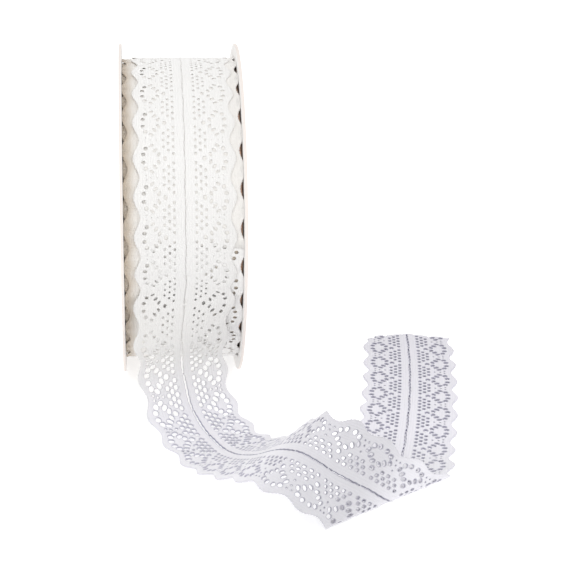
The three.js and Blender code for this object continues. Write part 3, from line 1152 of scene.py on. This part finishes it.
class SPOOL_OT_inner_turns(Operator):
    """Winds the turns beneath, whose edges and border holes show beside the outer one"""

    bl_idname = "spool.inner_turns"
    bl_label = "Inner Turns of Lace"

    def execute(self, context):
        settings = context.scene.spool.lace
        # The turns beneath are painted as a warmer, darker copy of the wound lace, with painted shade on
        # the edges of the deeper turns
        upper = settings.second_thread, settings.second_valley, settings.second_thread
        lower = settings.second_thread, settings.second_valley, settings.inner_edge_shade
        stages = list(zip(SHADED_ROWS, (lower, upper)))
        material = lace_material("inner_lace", stages, settings)
        # Painted warm brown shade for the deep body's sides, in the gaps beside the discs
        dark = (settings.deep_gap_shade, *darker([settings.deep_gap_shade] * 2, DEEP_SHADE))
        deep = lace_material("deep_lace", [(row, dark) for row in SHADED_ROWS], settings)
        band = lace_band(-OUTER_ROWS - INNER_ROWS, [0.0] * INNER_ROWS, False)
        points, faces, pattern, _ = lace_shell(band, settings, True)
        # Painted shade on the turns' edges beside the discs
        wall = smoothstep(np.abs(pattern[:, 0]), *SHADED_EDGE)
        body, body_faces = deep_body()
        # The faces toward the discs take the painted deep shade, the middle takes the inner lace
        far_side = np.abs(body[body_faces][:, :, 0]).max(axis=1) > PALE_HALF
        kinds = np.concatenate([np.zeros(len(faces)), far_side])
        surface = (
            np.vstack([points, body]),
            np.vstack([faces, body_faces + len(points)]),
            np.vstack([pattern, body[:, :2]]),
            np.concatenate([wall, np.zeros(len(body))]),
        )
        make_piece("wound_lace_inner", surface, [material, deep], "roll", kinds)
        return {"FINISHED"}


def deep_body():
    """The rest of the wound lace, as one closed body below the turns whose edges show."""
    angle = np.arange(DEEP_STEPS) * 2 * np.pi / DEEP_STEPS
    inset, drop = DEEP_CORNER
    side_radii = (LEAST_RADIUS, DEEP_INNER_RADIUS, DEEP_SIDE_RADIUS - drop)
    profile = [(-DEEP_HALF, radius) for radius in side_radii]
    for x in np.linspace(-DEEP_HALF + inset, DEEP_HALF - inset, DEEP_RINGS):
        sag = (DEEP_RADIUS - DEEP_SIDE_RADIUS) * abs(x / DEEP_HALF) ** DEEP_CURVE
        profile.append((x, DEEP_RADIUS - sag))
    profile += [(DEEP_HALF, radius) for radius in reversed(side_radii)]
    rings = [ring(x, radius, angle) for x, radius in profile]
    return np.vstack(rings), np.array(ring_faces(len(rings), DEEP_STEPS))


class SPOOL_OT_loose_end(Operator):
    """Builds the loose end: hanging, twisting, rising to a crest and folded under"""

    bl_idname = "spool.loose_end"
    bl_label = "Loose End of Lace"

    def execute(self, context):
        settings = context.scene.spool.lace
        # Painted light and shade along the trim: darker as it leaves the roll, cooler and darker where it
        # hangs and lies, darker again over the crest and towards the cut
        stages = shaded(part_colours(settings, "wound"), LEAVING_SHADES)
        stages += shaded(part_colours(settings, "loose"), LOOSE_SHADES)
        stages += shaded(part_colours(settings, "end"), END_SHADES)
        material = lace_material("loose_lace", stages, settings)
        length = LAST_ROW - END_LAG + CUT_REACH
        tiles = math.floor(length)
        band = lace_band(0, LOOSE_WIDENS[:tiles], True, length - tiles)
        surface = lace_shell(band, settings, False)
        piece = make_piece("loose_lace", surface, [material], "loose_end")
        return {"FINISHED"}


class SPOOL_OT_stage(Operator):
    """Adds the pale floor, the soft lights and the camera"""

    bl_idname = "spool.stage"
    bl_label = "Floor, Lights and Camera"

    def execute(self, context):
        settings = context.scene.spool.stage
        add_floor(settings)
        add_sky(context.scene, settings.sky)
        add_lamp("key_light", KEY_PLACE, KEY_SIZE, settings.key, KEY_COLOUR)
        add_lamp("fill_light", FILL_PLACE, FILL_SIZE, settings.key * FILL_SHARE, FILL_COLOUR)
        add_camera(context.scene, settings.lens)
        context.scene.view_settings.view_transform = "Standard"
        return {"FINISHED"}


def add_floor(settings):
    """A large square floor just below the table's height."""
    mesh = bpy.data.meshes.new("floor")
    half = FLOOR_HALF
    corners = [(-half, -half), (half, -half), (half, half), (-half, half)]
    mesh.from_pydata([(x, y, -FLOOR_SINK) for x, y in corners], [], [(0, 1, 2, 3)])
    mesh.materials.append(floor_material(settings))
    floor = bpy.data.objects.new("floor", mesh)
    bpy.context.collection.objects.link(floor)


def add_sky(scene, strength):
    """Soft white light from all round."""
    world = bpy.data.worlds.new("studio")
    world.use_nodes = True
    background = world.node_tree.nodes["Background"]
    background.inputs["Color"].default_value = WHITE
    background.inputs["Strength"].default_value = strength
    scene.world = world


def add_lamp(name, place, size, power, colour):
    """A square soft light that points at the spool."""
    lamp = bpy.data.lights.new(name, "AREA")
    lamp.energy = power
    lamp.size = size
    lamp.color = colour
    holder = bpy.data.objects.new(name, lamp)
    target = Vector(GROUND) + Vector(LAMP_TARGET)
    holder.location = Vector(GROUND) + Vector(place)
    holder.rotation_euler = (target - holder.location).to_track_quat("-Z", "Y").to_euler()
    bpy.context.collection.objects.link(holder)


def add_camera(scene, lens):
    """The camera stands in front of the spool, a little to its left, and looks down on it."""
    yaw, pitch, roll = (math.radians(turn) for turn in CAMERA_TURN)
    forward = Vector(
        (math.sin(yaw) * math.cos(pitch), math.cos(yaw) * math.cos(pitch), -math.sin(pitch))
    )
    level = Vector((math.cos(yaw), -math.sin(yaw), 0))
    above = level.cross(forward)
    right = math.cos(roll) * level + math.sin(roll) * above
    up = -math.sin(roll) * level + math.cos(roll) * above
    camera = bpy.data.objects.new("camera", bpy.data.cameras.new("camera"))
    camera.data.lens = lens
    camera.data.sensor_width = SENSOR_WIDTH
    turned = Matrix((right, up, -forward)).transposed().to_4x4()
    place = Vector(GROUND) + Vector(CAMERA_PLACE)
    camera.matrix_world = Matrix.Translation(place) @ turned
    scene.collection.objects.link(camera)
    scene.camera = camera


class SPOOL_PT_panel(Panel):
    """Lists the operators that build the spool"""

    bl_label = "Lace Spool"
    bl_idname = "SPOOL_PT_panel"
    bl_space_type = "VIEW_3D"
    bl_region_type = "UI"
    bl_category = "Lace Spool"

    def draw(self, context):
        for operator in OPERATORS:
            self.layout.operator(operator.bl_idname)
        for group in ("card", "lace", "stage"):
            settings = getattr(context.scene.spool, group)
            for name in settings.bl_rna.properties.keys():
                if name not in ("rna_type", "name"):
                    self.layout.prop(settings, name)


OPERATORS = (
    SPOOL_OT_card_discs,
    SPOOL_OT_outer_turn,
    SPOOL_OT_inner_turns,
    SPOOL_OT_loose_end,
    SPOOL_OT_stage,
)
CLASSES = (CardSettings, LaceSettings, StageSettings, SpoolSettings, *OPERATORS, SPOOL_PT_panel)


def register():
    for item in CLASSES:
        bpy.utils.register_class(item)
    bpy.types.Scene.spool = PointerProperty(type=SpoolSettings)


def unregister():
    del bpy.types.Scene.spool
    for item in reversed(CLASSES):
        bpy.utils.unregister_class(item)


def main():
    register()
    bpy.ops.spool.card_discs()
    bpy.ops.spool.outer_turn()
    bpy.ops.spool.inner_turns()
    bpy.ops.spool.loose_end()
    bpy.ops.spool.stage()


if __name__ == "__main__":
    main()
